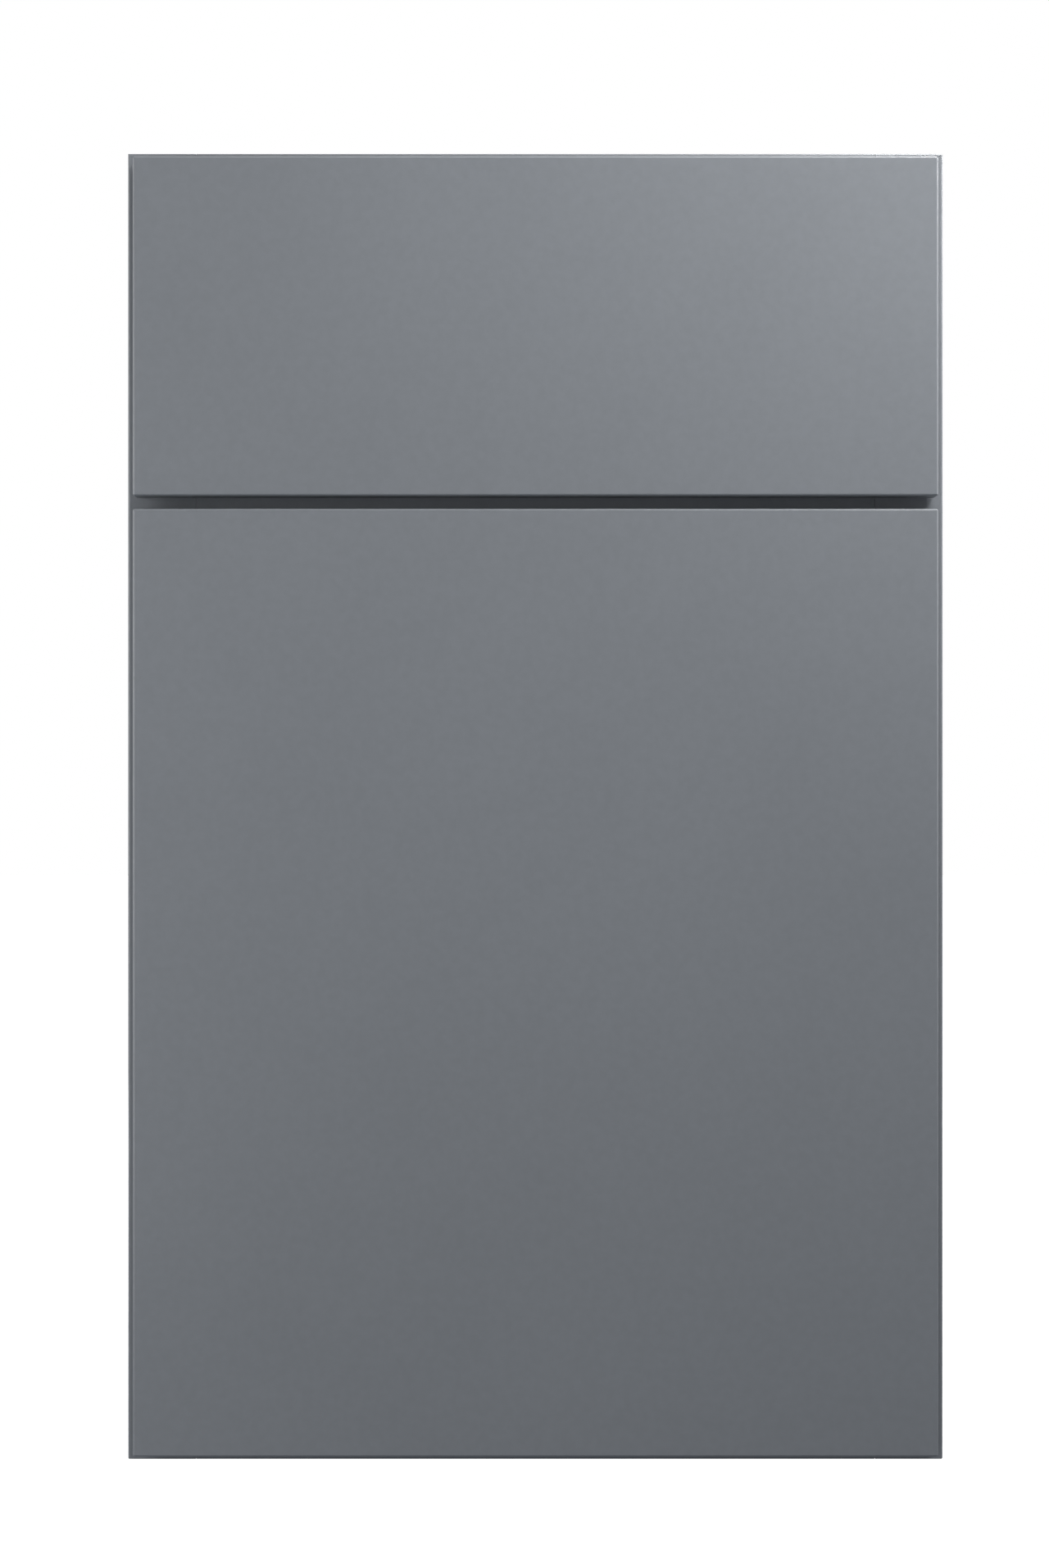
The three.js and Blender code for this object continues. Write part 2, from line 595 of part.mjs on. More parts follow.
/** The fixed arm: an eye on the pin, a crank out of the cup, and a plate that wraps the frame's stile. */
function hingeArm() {
  const stile = X_FRAME - FRAME.stile - X_FRONT + HINGE.pinEdge; // minus the stile's edge, from the pin
  const leg = -stile + CLEAR;
  const sheet = 1.5;
  const frameFace = HINGE.pinDepth + FRONT.standOff;
  const frameBack = frameFace + FRAME.thick + CLEAR;
  const crank = [
    [0, -2],
    [14.2, -2],
    [16.6, frameFace - 2.6],
    [leg + sheet, frameFace - 2.6],
    [leg + sheet, frameBack + sheet],
    [leg - 12, frameBack + sheet],
    [leg - 12, frameBack],
    [leg, frameBack],
    [leg, frameFace - 1],
    [15.4, frameFace - 1],
    [12.9, -0.6],
    [0, -0.6],
  ];
  const half = HINGE.halfWidth;
  const body = join(
    prism(crank, "xy", [-half, half]),
    bar("z", EYE.radius, [-half, half], [0, 0], 16),
    box([leg, leg + sheet], [frameFace + 2, frameBack + sheet], [-22, 22]),
    box([leg - 10, leg + sheet], [frameBack, frameBack + sheet], [-13, 13]),
  );
  const screwHoles = [-1, 1].map((s) =>
    bar("x", SCREW_HOLE, [leg - 1, leg + 3], [ARM_SCREW.y - PIN.y, s * ARM_SCREW.spread], 10),
  );
  return cut(body, bar("z", EYE.hole, [-half - 1, half + 1], [0, 0], 12), ...screwHoles);
}

const hingePin = () => bar("z", EYE.pin, [-LUG.outer + GLUE, LUG.outer - GLUE], [0, 0], 12);

function buildHinge(cabinet, name, height) {
  const hinge = new THREE.Group();
  hinge.position.set(PIN.x, PIN.y, height);
  cabinet.add(hinge);
  place(hinge, `hinge_cup_${name}`, hingeCup(), NICKEL);
  place(hinge, `hinge_arm_${name}`, hingeArm(), NICKEL);
  place(hinge, `hinge_pin_${name}`, hingePin(), NICKEL);
  [-1, 1].forEach((s, i) => {
    const end = ["bottom", "top"][i];
    const onCup = [CUP_SCREW.x, HINGE.pinDepth + 1.5, s * CUP_SCREW.spread];
    place(hinge, `cup_screw_${name}_${end}`, screw(3.3, 0.6, 1.6, 12), SCREW, onCup);
    const plate = X_FRONT - HINGE.pinEdge - X_OPENING + CLEAR + 1.5;
    const onArm = [plate + 0.1, ARM_SCREW.y - PIN.y, s * ARM_SCREW.spread];
    const fixing = place(hinge, `arm_screw_${name}_${end}`, screw(3.6, 2, 1.6, 17), SCREW, onArm);
    fixing.rotation.z = -Math.PI / 2;
  });
}

// ---------------------------------------------------------------- door

function buildDoor(cabinet) {
  const tools = [];
  for (const z of Object.values(HINGE_HEIGHTS)) {
    const bore = [Y_FRONT_BACK - CUP.depth - CLEAR, Y_FRONT_BACK + 1];
    tools.push(bar("y", HINGE.cupRadius + CLEAR, bore, [PIN.x + CUP_X, z], CUP.facets));
    for (const s of [-1, 1]) {
      const at = [PIN.x + CUP_SCREW.x, z + s * CUP_SCREW.spread];
      tools.push(bar("y", CUP_SCREW.pilot, bore, at, 10));
    }
  }
  const face = slab([-X_FRONT, X_FRONT], [Y_FACE, Y_FRONT_BACK], [FRONT.reveal, Z_DOOR_TOP], FRONT.arris);
  place(cabinet, "door_panel", cut(face, ...tools), SLATE);
  const heights = { bottom: FRONT.reveal + 16, top: Z_DOOR_TOP - 22 };
  for (const [end, z] of Object.entries(heights)) {
    const corner = [X_OPENING + 17, Y_FRONT_BACK + 0.1, z];
    place(cabinet, `door_bumper_${end}`, bumper(), BUMPER, corner);
  }
}

// ---------------------------------------------------------------- assembly

const cabinet = new THREE.Group();
const drawer = new THREE.Group();
cabinet.add(drawer);

buildCase(cabinet);
buildFrame(cabinet);
buildShelf(cabinet);
buildDrawerBox(drawer);
buildDrawerFront(drawer);
buildRunners(cabinet, drawer);
buildDoor(cabinet);
for (const [name, height] of Object.entries(HINGE_HEIGHTS)) buildHinge(cabinet, name, height);

export default cabinet;
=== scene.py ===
"""The looks of a framed storage cabinet: one drawer over one door, in satin slate-grey paint.

Every CAD node is shown by a finer piece that rides on the same body. Coordinates are metres in the
part's own frame: X to the right, Y to the back, Z up, with the floor at zero.
"""

import json
import math

import bmesh
import bpy
from mathutils import Matrix, Vector


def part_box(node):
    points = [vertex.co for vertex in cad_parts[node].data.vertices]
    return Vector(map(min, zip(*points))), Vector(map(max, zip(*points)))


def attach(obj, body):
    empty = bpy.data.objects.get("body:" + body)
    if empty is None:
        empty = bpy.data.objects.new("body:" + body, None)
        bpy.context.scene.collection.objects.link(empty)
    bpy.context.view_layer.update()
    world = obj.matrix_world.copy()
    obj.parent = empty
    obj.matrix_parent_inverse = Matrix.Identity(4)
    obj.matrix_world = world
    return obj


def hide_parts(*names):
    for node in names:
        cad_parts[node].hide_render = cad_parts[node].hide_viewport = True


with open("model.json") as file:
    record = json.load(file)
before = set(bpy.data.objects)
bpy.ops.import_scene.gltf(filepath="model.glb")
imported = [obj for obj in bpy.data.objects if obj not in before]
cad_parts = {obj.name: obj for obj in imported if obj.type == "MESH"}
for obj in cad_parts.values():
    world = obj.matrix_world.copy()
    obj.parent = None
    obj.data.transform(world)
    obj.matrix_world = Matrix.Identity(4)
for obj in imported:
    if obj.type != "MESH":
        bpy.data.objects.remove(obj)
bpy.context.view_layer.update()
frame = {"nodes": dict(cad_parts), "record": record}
RECORD = frame["record"]
BODY_OF = {n: body for body, nodes in RECORD["behaviour"]["bodies"].items() for n in nodes}
HANDS = {"left": -1, "right": 1}
ENDS = ("lower", "upper")
AXES = "xyz"
MM = 0.001

# ------------------------------------------------------------------ camera, floor and light

CAMERA_AT = Vector((-0.0061, -2.5155, 0.3788))
LENS = 90.87
FLOOR_DROP = 0.4 * MM
BACKDROP_RADIUS = 14

# name: position, the point it faces, width, height, power in watts; all of them are white
LIGHTS = {
    "key": ((0.62, -0.80, 1.20), (0.22, -0.3, 0.6), 0.4, 0.4, 11.6),
    "spark": ((0.33, -0.74, 1.28), (0.2, -0.3, 0.7), 0.1, 0.1, 1.8),
    "fill": ((-1.10, -1.20, 0.40), (-0.1, -0.3, 0.3), 0.6, 0.9, 11.0),
    "high_front": ((0.9, -2.6, 2.2), (0, -0.3, 0.4), 1.4, 1.0, 10),
    "overhead": ((0.1, 0.1, 2.4), (0, 0.1, 0.7), 1.4, 1.2, 8),
    "right": ((1.6, 0.15, 0.9), (0.2, 0.0, 0.4), 1.2, 1.4, 10.5),
    "left": ((-1.6, 0.15, 0.9), (-0.2, 0.0, 0.4), 1.2, 1.4, 12),
    "behind": ((0.3, 2.2, 1.1), (0, 0.3, 0.4), 1.4, 1.2, 20),
    "rim_top": ((0.33, -0.10, 1.40), (0.22, -0.3, 0.73), 0.12, 0.12, 4.2),
    "rim_right": ((0.72, -0.22, 0.87), (0.22, -0.3, 0.72), 0.12, 0.12, 2.6),
}
SKY = (0.16, 0.16, 0.16)
GROUND = (0.26, 0.28, 0.31)
SKY_FROM = 0.25  # how far up the view has to point to meet the full colour of the sky


def linked(obj):
    bpy.context.scene.collection.objects.link(obj)
    return obj


def mesh_object(name, bm):
    """A new object from a bmesh, which is freed."""
    mesh = bpy.data.meshes.new(name)
    bm.to_mesh(mesh)
    bm.free()
    return linked(bpy.data.objects.new(name, mesh))


def aimed(obj, at, target):
    obj.location = at
    obj.rotation_euler = (Vector(target) - Vector(at)).to_track_quat("-Z", "Y").to_euler()


def make_camera():
    camera = linked(bpy.data.objects.new("camera", bpy.data.cameras.new("camera")))
    camera.data.lens = LENS
    camera.data.clip_end = 60
    aimed(camera, CAMERA_AT, CAMERA_AT + Vector((0, 1, 0)))
    bpy.context.scene.camera = camera


def make_lights():
    for name, (at, target, width, height, power) in LIGHTS.items():
        data = bpy.data.lights.new(name, "AREA")
        data.shape = "RECTANGLE"
        data.size = width
        data.size_y = height
        data.energy = power
        lamp = linked(bpy.data.objects.new(name, data))
        lamp.visible_camera = False
        aimed(lamp, at, target)


def make_world():
    """Soft even light from above, and a little more from the pale ground below."""
    world = bpy.data.worlds.new("studio")
    world.use_nodes = True
    bpy.context.scene.world = world
    tree = world.node_tree
    direction = tree.nodes.new("ShaderNodeTexCoord")
    split = tree.nodes.new("ShaderNodeSeparateXYZ")
    ramp = tree.nodes.new("ShaderNodeValToRGB")
    ramp.color_ramp.elements[0].position = 0
    ramp.color_ramp.elements[0].color = (*GROUND, 1)
    ramp.color_ramp.elements[1].position = SKY_FROM
    ramp.color_ramp.elements[1].color = (*SKY, 1)
    tree.links.new(direction.outputs["Generated"], split.inputs[0])
    tree.links.new(split.outputs["Z"], ramp.inputs[0])
    tree.links.new(ramp.outputs[0], tree.nodes["Background"].inputs["Color"])


def make_stage():
    """A white floor and backdrop that only the camera sees, so that they light nothing."""
    bm = bmesh.new()
    bmesh.ops.create_circle(bm, cap_ends=True, radius=BACKDROP_RADIUS, segments=64)
    floor = mesh_object("floor", bm)
    floor.location.z = -FLOOR_DROP
    bm = bmesh.new()
    bmesh.ops.create_icosphere(bm, subdivisions=4, radius=BACKDROP_RADIUS + 1)
    dome = mesh_object("backdrop", bm)
    for piece in (floor, dome):
        look = Look(piece.name)
        look.set(
            base_color=(*scaled(WHITE, 0.8), 1) if piece is floor else (0, 0, 0, 1),
            roughness=1.0,
            specular_ior_level=0.0,
            emission_color=(*WHITE, 1),
            emission_strength=1.0,
        )
        piece.data.materials.append(look.material)
        piece.visible_diffuse = False
        piece.visible_glossy = False
        piece.visible_transmission = False
        piece.visible_shadow = False


# ------------------------------------------------------------------ materials

WHITE = (1, 1, 1)
SLATE = (0.151, 0.161, 0.174)
MAPLE = (0.53, 0.412, 0.285)
VENEER = (0.54, 0.42, 0.297)
BROWNING = (1.0, 1.4, 1.9)  # how strongly rings and pores darken the red, the green and the blue
PLY = 1.41 * MM  # one layer of plywood
# how much longer the figure of wood, its fibres and its flame are along the grain than across it
FIGURE_ALONG, FIBRE_ALONG, FLAME_ALONG = 1 / 16, 1 / 70, 1 / 5


class Look:
    """A short way to write a Principled material's nodes."""

    def __init__(self, name):
        self.material = bpy.data.materials.new(name)
        self.material.use_nodes = True
        self.tree = self.material.node_tree
        self.shader = self.tree.nodes["Principled BSDF"]

    def feed(self, socket, value):
        if isinstance(value, bpy.types.NodeSocket):
            self.tree.links.new(value, socket)
        else:
            socket.default_value = value

    def set(self, **values):
        """Feeds the shader's sockets, named in lower case with underscores."""
        sockets = {s.name.lower().replace(" ", "_"): s for s in self.shader.inputs}
        for name, value in values.items():
            self.feed(sockets[name], value)

    def place(self, scale=(1, 1, 1), offset=(0, 0, 0)):
        """The point in the part's frame, scaled along each axis."""
        coordinates = self.tree.nodes.new("ShaderNodeTexCoord")
        mapping = self.tree.nodes.new("ShaderNodeMapping")
        mapping.inputs["Scale"].default_value = scale
        mapping.inputs["Location"].default_value = offset
        self.tree.links.new(coordinates.outputs["Object"], mapping.inputs["Vector"])
        return mapping.outputs[0]

    def noise(self, where, scale, detail=2.0, rough=0.5, distortion=0.0):
        """Soft noise about a half; the scale is in features to the metre."""
        node = self.tree.nodes.new("ShaderNodeTexNoise")
        self.feed(node.inputs["Vector"], where)
        values = {"Scale": scale, "Detail": detail, "Roughness": rough, "Distortion": distortion}
        for name, value in values.items():
            node.inputs[name].default_value = value
        return node.outputs[0]

    def math(self, operation, first, second=0.0):
        node = self.tree.nodes.new("ShaderNodeMath")
        node.operation = operation
        self.feed(node.inputs[0], first)
        self.feed(node.inputs[1], second)
        return node.outputs[0]

    def between(self, value, low, high, from_low, from_high):
        """The value carried from one range to another, and held inside it."""
        node = self.tree.nodes.new("ShaderNodeMapRange")
        self.feed(node.inputs["Value"], value)
        node.inputs["From Min"].default_value = from_low
        node.inputs["From Max"].default_value = from_high
        node.inputs["To Min"].default_value = low
        node.inputs["To Max"].default_value = high
        return node.outputs[0]

    def ramp(self, value, *stops, sharp=False):
        """Colours from stops of (position, colour)."""
        node = self.tree.nodes.new("ShaderNodeValToRGB")
        self.feed(node.inputs[0], value)
        ramp = node.color_ramp
        ramp.interpolation = "CONSTANT" if sharp else "LINEAR"
        while len(ramp.elements) < len(stops):
            ramp.elements.new(0.5)
        for element, (position, colour) in zip(ramp.elements, stops):
            element.position = position
            element.color = (*colour, 1)
        return node.outputs[0]

    def mix(self, factor, first, second, how="MIX"):
        node = self.tree.nodes.new("ShaderNodeMix")
        node.data_type = "RGBA"
        node.blend_type = how
        self.feed(node.inputs[0], factor)
        self.feed(node.inputs[6], first)
        self.feed(node.inputs[7], second)
        return node.outputs[2]

    def bump(self, height, depth):
        """Relief of that depth in metres."""
        node = self.tree.nodes.new("ShaderNodeBump")
        node.inputs["Distance"].default_value = depth
        self.feed(node.inputs["Height"], height)
        self.set(normal=node.outputs[0])


def scaled(colour, by):
    return tuple(c * by for c in colour)


def browned(colour, by):
    """The colour darkened towards brown, as wood darkens in its rings and pores."""
    return tuple(c * (1 - by * pull) for c, pull in zip(colour, BROWNING))


def stretched(grain, along):
    """A scale for look.place that draws a pattern out along one axis."""
    return tuple(along if axis == grain else 1 for axis in AXES)


def paint(name, roughness, coat):
    """Sprayed lacquer: a faint orange peel over an almost even colour."""
    look = Look(name)
    broad = look.noise(look.place(), scale=5, detail=3)
    mottle = look.noise(look.place(), scale=210)
    cloudy = look.noise(look.place(), scale=38, detail=3)
    peel = look.noise(look.place(), scale=340, rough=0.45)
    base = look.ramp(broad, (0.3, scaled(SLATE, 0.975)), (0.7, scaled(SLATE, 1.025)))
    fleck = look.between(mottle, 0.97, 1.03, 0.3, 0.7)
    look.set(
        base_color=look.mix(1.0, base, fleck, how="MULTIPLY"),
        roughness=look.between(cloudy, roughness - 0.025, roughness + 0.025, 0.3, 0.7),
        coat_weight=coat,
        coat_roughness=0.24,
    )
    look.bump(peel, 0.007 * MM)
    return look.material


def wood(name, grain, colour, figure, offset=(0, 0, 0)):
    """Clear-coated maple, with its grain along one axis."""
    look = Look(f"{name}_{grain}")
    drawn = {a: look.place(stretched(grain, a), offset) for a in (FIGURE_ALONG, FIBRE_ALONG, FLAME_ALONG)}
    broad = look.noise(drawn[FIGURE_ALONG], scale=30, detail=3, rough=0.55, distortion=0.5)
    fibre = look.noise(drawn[FIBRE_ALONG], scale=1250)
    flame = look.noise(drawn[FLAME_ALONG], scale=22)
    rings = look.math("SINE", look.math("MULTIPLY", broad, 46.0))
    base = look.ramp(
        look.between(broad, 0, 1, 0.3, 0.7),
        (0.0, browned(colour, 0.09 * figure)),
        (0.5, colour),
        (1.0, browned(colour, -0.03 * figure)),
    )
    lines = look.ramp(look.between(rings, 0, 1, -1, 0.2), (0, browned(WHITE, 0.05 * figure)), (1, WHITE))
    streaks = look.ramp(fibre, (0.3, browned(WHITE, 0.06)), (0.7, WHITE))
    glow = look.between(flame, 0.97, 1.03, 0.35, 0.65)
    for layer in (lines, streaks, glow):
        base = look.mix(1.0, base, layer, how="MULTIPLY")
    look.set(base_color=base, roughness=look.between(fibre, 0.37, 0.5, 0.3, 0.7))
    look.bump(fibre, 0.04 * MM)
    return look.material


def plywood_edge(axis):
    """The layers of plywood, seen on an edge of a board whose thickness lies along one axis."""
    look = Look(f"plywood_edge_{axis}")
    split = look.tree.nodes.new("ShaderNodeSeparateXYZ")
    look.feed(split.inputs[0], look.place())
    layer = look.math("FRACT", look.math("DIVIDE", split.outputs[axis.upper()], 2 * PLY))
    long_way = tuple(1 if a == axis else 0.05 for a in AXES)
    fibre = look.noise(look.place(long_way), scale=900, detail=3)
    pores = look.noise(look.place(), scale=1500)
    light = look.ramp(fibre, (0.3, (0.60, 0.43, 0.26)), (0.7, (0.70, 0.53, 0.34)))
    dark = look.ramp(pores, (0.35, (0.27, 0.165, 0.085)), (0.65, (0.44, 0.29, 0.16)))
    cross = look.ramp(layer, (0.0, (0, 0, 0)), (0.5, (1, 1, 1)), sharp=True)
    look.set(base_color=look.mix(cross, light, dark), roughness=0.62)
    look.bump(pores, 0.08 * MM)
    return look.material


def end_grain():
    """The pores and rings on a cut end of maple."""
    look = Look("maple_end_grain")
    rings = look.noise(look.place((1, 1, 0.35)), scale=55, distortion=0.8)
    pores = look.noise(look.place(), scale=1900)
    bands = look.math("SINE", look.math("MULTIPLY", rings, 70.0))
    share = look.between(bands, 0, 1, -1, 1)
    base = look.ramp(share, (0.0, (0.42, 0.28, 0.15)), (1.0, (0.58, 0.41, 0.24)))
    dots = look.between(pores, 0.82, 1.06, 0.35, 0.6)
    look.set(base_color=look.mix(1.0, base, dots, how="MULTIPLY"), roughness=0.55)
    look.bump(pores, 0.05 * MM)
    return look.material


def metal(name, colour, roughness, brushed=None, blotch=0.05):
    """Plated steel: uneven plating, and drawing marks along one axis where it is rolled."""
    look = Look(name)
    uneven = look.noise(look.place(), scale=90, detail=3)
    marks = look.noise(look.place(stretched(brushed, 0.02)), scale=1600)
    look.set(
        base_color=look.ramp(uneven, (0.3, scaled(colour, 1 - blotch)), (0.7, scaled(colour, 1 + blotch))),
        metallic=1.0,
        roughness=look.between(marks, roughness - 0.03, roughness + 0.05, 0.3, 0.7),
    )
    if brushed:
        look.bump(marks, 0.004 * MM)
    return look.material


def plastic(name, colour, roughness):
    """Moulded plastic with a fine spark-eroded texture."""
    look = Look(name)
    grain = look.noise(look.place(), scale=1400)
    broad = look.noise(look.place(), scale=60)
    look.set(
        base_color=look.ramp(broad, (0.3, scaled(colour, 0.94)), (0.7, scaled(colour, 1.06))),
        roughness=look.between(grain, roughness - 0.05, roughness + 0.08, 0.3, 0.7),
    )
    look.bump(grain, 0.03 * MM)
    return look.material


def clear_urethane():
    """The soft clear plastic of the bumpers, a little hazy."""
    look = Look("bumper_urethane")
    haze = look.noise(look.place(), scale=500)
    look.set(
        base_color=look.ramp(haze, (0.3, (0.84, 0.86, 0.84)), (0.7, (0.9, 0.92, 0.9))),
        roughness=look.between(haze, 0.12, 0.24, 0.3, 0.7),
        transmission_weight=0.85,
        ior=1.48,
    )
    return look.material


PAINT = paint("slate_paint", 0.42, 0.24)
DULL_PAINT = paint("slate_paint_dull", 0.64, 0.0)
VENEERS = {a: wood("maple_veneer", a, VENEER, figure=1.2) for a in "xz"}
SOLIDS = {a: wood("maple", a, MAPLE, figure=0.8, offset=(1, 2, 3)) for a in AXES}
EDGES = {a: plywood_edge(a) for a in AXES}
END_GRAIN = end_grain()
ZINC = metal("zinc_steel", (0.66, 0.68, 0.70), 0.42, brushed="y")
NICKEL = metal("nickel_steel", (0.72, 0.71, 0.69), 0.34, blotch=0.03)
SCREW = metal("screw_steel", (0.60, 0.58, 0.52), 0.4)
GREY = plastic("grey_plastic", (0.15, 0.16, 0.17), 0.5)
ORANGE = plastic("orange_plastic", (0.66, 0.13, 0.02), 0.42)
URETHANE = clear_urethane()

# ------------------------------------------------------------------ mesh tools

SHARP_EDGE = math.radians(28)  # edges of the CAD that turn by more than this are rounded
SMOOTH_BELOW = math.radians(32)  # faces that meet at less than this are shaded as one
FACING = 0.7  # the least share of a normal that makes a face look along an axis
CUTTER_START = 2 * MM  # how far outside a face the cutter of a hole starts


def cad_copy(node):
    """A bmesh of a CAD node, with the triangles of each flat face joined."""
    bm = bmesh.new()
    bm.from_mesh(frame["nodes"][node].data)
    bmesh.ops.remove_doubles(bm, verts=bm.verts, dist=1e-6)
    bmesh.ops.dissolve_limit(bm, angle_limit=math.radians(1), verts=bm.verts, edges=bm.edges)
    bmesh.ops.recalc_face_normals(bm, faces=bm.faces)
    return bm


def ease(bm, width, segments, chosen=lambda start, end: True):
    """Rounds the sharp edges, or only the chosen ones of them."""
    edges = [e for e in bm.edges if len(e.link_faces) == 2 and e.calc_face_angle(0) > SHARP_EDGE]
    edges = [e for e in edges if chosen(e.verts[0].co, e.verts[1].co)]
    bmesh.ops.bevel(
        bm,
        geom=edges,
        offset=width,
        offset_type="OFFSET",
        segments=segments,
        profile=0.5,
        affect="EDGES",
        clamp_overlap=True,
    )


def block(low, high):
    bm = bmesh.new()
    low, high = Vector(low), Vector(high)
    bmesh.ops.create_cube(bm, size=1, matrix=Matrix.LocRotScale((low + high) / 2, None, high - low))
    return bm


def pointing(at, direction):
    """A placement that turns +Z to a direction."""
    turn = Vector((0, 0, 1)).rotation_difference(Vector(direction)).to_matrix().to_4x4()
    return Matrix.Translation(at) @ turn


def cylinder(bm, centre, axis, radius, depth, segments):
    """Adds a closed cylinder that is centred on a point and lies along an axis."""
    bmesh.ops.create_cone(
        bm,
        cap_ends=True,
        radius1=radius,
        radius2=radius,
        depth=depth,
        segments=segments,
        matrix=pointing(centre, axis),
    )


def bore(bm, mouth, inward, radius, depth, segments=16):
    """Adds the cutter of a blind hole, from its mouth in a face inwards."""
    inward = Vector(inward)
    centre = Vector(mouth) + inward * (depth - CUTTER_START) / 2
    cylinder(bm, centre, inward, radius, depth + CUTTER_START, segments)


def lathe(profile, segments):
    """A closed solid of revolution about Z, from (radius, height) points that start and end on Z."""
    bm = bmesh.new()
    steps = [2 * math.pi * i / segments for i in range(segments)]
    rows = []
    for radius, height in profile:
        if radius == 0:
            rows.append([bm.verts.new((0, 0, height))])
        else:
            ring = [(radius * math.cos(a), radius * math.sin(a), height) for a in steps]
            rows.append([bm.verts.new(point) for point in ring])
    for low, high in zip(rows, rows[1:]):
        for i in range(segments):
            corners = [low[i % len(low)], low[(i + 1) % len(low)]]
            corners += [high[(i + 1) % len(high)], high[i % len(high)]]
            bm.faces.new(dict.fromkeys(corners))
    bmesh.ops.recalc_face_normals(bm, faces=bm.faces)
    return bm


def carve(obj, tool):
    """Cuts a closed bmesh away, and keeps the result as the object's mesh."""
    other = mesh_object("tool", tool)
    modifier = obj.modifiers.new("carve", "BOOLEAN")
    modifier.operation = "DIFFERENCE"
    modifier.solver = "EXACT"
    modifier.object = other
    bpy.context.view_layer.update()
    evaluated = obj.evaluated_get(bpy.context.evaluated_depsgraph_get())
    mesh = bpy.data.meshes.new_from_object(evaluated)
    obj.modifiers.clear()
    obj.data = mesh
    bpy.data.objects.remove(other)


def split_at(obj, x):
    """Cuts the mesh's faces along a plane, so that each side of it can have its own material."""
    bm = bmesh.new()
    bm.from_mesh(obj.data)
    everything = [*bm.verts, *bm.edges, *bm.faces]
    bmesh.ops.bisect_plane(bm, geom=everything, plane_co=(x, 0, 0), plane_no=(1, 0, 0))
    bm.to_mesh(obj.data)
    bm.free()


def smooth(obj):
    """Smooth shading that leaves flat faces flat."""
    obj.data.polygons.foreach_set("use_smooth", [True] * len(obj.data.polygons))
    obj.data.set_sharp_from_angle(angle=SMOOTH_BELOW)
    modifier = obj.modifiers.new("flat_faces", "WEIGHTED_NORMAL")
    modifier.keep_sharp = True
    modifier.weight = 100


def dress(obj, materials, choose=None):
    """Gives the object its materials; choose picks one for a face from its middle and its normal."""
    obj.data.materials.clear()
    for material in materials:
        obj.data.materials.append(material)
    for face in obj.data.polygons:
        face.material_index = int(choose(face.center, face.normal)) if choose else 0


def shows(obj, node):
    """The object stands for a CAD node."""
    smooth(obj)
    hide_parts(node)
    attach(obj, BODY_OF[node])


def extra(obj, body):
    """A detail that has no CAD node of its own."""
    smooth(obj)
    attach(obj, body)


def finished(node, width=0.3 * MM):
    """A CAD node's own shape with rounded edges, not yet dressed."""
    bm = cad_copy(node)
    ease(bm, width, segments=2)
    return mesh_object(f"{node}_finished", bm)


def plain(node, material, width=0.3 * MM):
    """A CAD node's own shape with rounded edges, all in one material."""
    obj = finished(node, width)
    dress(obj, [material])
    shows(obj, node)


def middle_of(node):
    low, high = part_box(node)
    return (low + high) / 2


def end_of(node, axis, inset):
    """A point on a CAD node's middle line along an axis, that far inside its far end."""
    point = middle_of(node)
    point[AXES.index(axis)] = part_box(node)[1][AXES.index(axis)] - inset
    return point


# ------------------------------------------------------------------ screws

# the thread's sizes are in shank radii and its slopes in pitches
THREAD = {"root": 0.72, "pitch": 0.9, "rise": 0.42, "fall": 0.8, "point": 2.6, "plain": 1.5, "neck": 0.8}
# the recess's reach and half width are in head radii, and its floor in head heights
RECESS = {"reach": 0.52, "half_width": 0.1, "floor": 0.2}
PAN_RIM = 0.2  # the straight part of a pan head, in head heights
FLAT_RIM = {"from": 0.55, "narrowing": 0.97}  # the rim of a flat head, in head heights and radii


def screw_mesh(head, height, shank, length, pan=True):
    """A cross-recess screw along Z, its head above zero; head and shank are radii."""
    if pan:
        turns = [math.pi / 12 * i for i in range(1, 6)]
        crown = [(head * math.cos(a), height * math.sin(a)) for a in turns]
        top = [(head, 0), (head, height * PAN_RIM), *crown, (0, height)]
    else:
        top = [(head, height * FLAT_RIM["from"]), (head * FLAT_RIM["narrowing"], height), (0, height)]
    threads = []
    root = shank * THREAD["root"]
    pitch = shank * THREAD["pitch"]
    z = -length + shank * THREAD["point"]
    while z < -shank * THREAD["plain"]:
        threads += [(root, z), (shank, z + pitch * THREAD["rise"]), (root, z + pitch * THREAD["fall"])]
        z += pitch
    obj = mesh_object("screw", lathe([(0, -length), *threads, (shank * THREAD["neck"], 0), *top], 28))
    reach, half = head * RECESS["reach"], head * RECESS["half_width"]
    for turn in (math.pi / 4, 3 * math.pi / 4):
        slot = block((-reach, -half, height * RECESS["floor"]), (reach, half, height * 2))
        bmesh.ops.rotate(slot, verts=slot.verts, matrix=Matrix.Rotation(turn, 3, "Z"))
        carve(obj, slot)
    mesh = obj.data
    bpy.data.objects.remove(obj)
    return mesh


def copies(name, mesh, places):
    """One object that holds a copy of the mesh at each place, in screw steel."""
    bm = bmesh.new()
    for place in places:
        start = len(bm.verts)
        bm.from_mesh(mesh)
        bm.verts.ensure_lookup_table()
        bmesh.ops.transform(bm, matrix=place, verts=bm.verts[start:])
    obj = mesh_object(name, bm)
    dress(obj, [SCREW])
    return obj


def screw_for(node, mesh, axis, inset):
    """A screw in place of a CAD node, whose head faces along an axis."""
    way = [int(a == axis) for a in AXES]
    obj = copies(f"{node}_finished", mesh, [pointing(end_of(node, axis, inset), way)])
    shows(obj, node)


def fixings(name, mesh, places, body):
    """Screws that have no CAD nodes of their own."""
    extra(copies(name, mesh, places), body)


# ------------------------------------------------------------------ case and frame

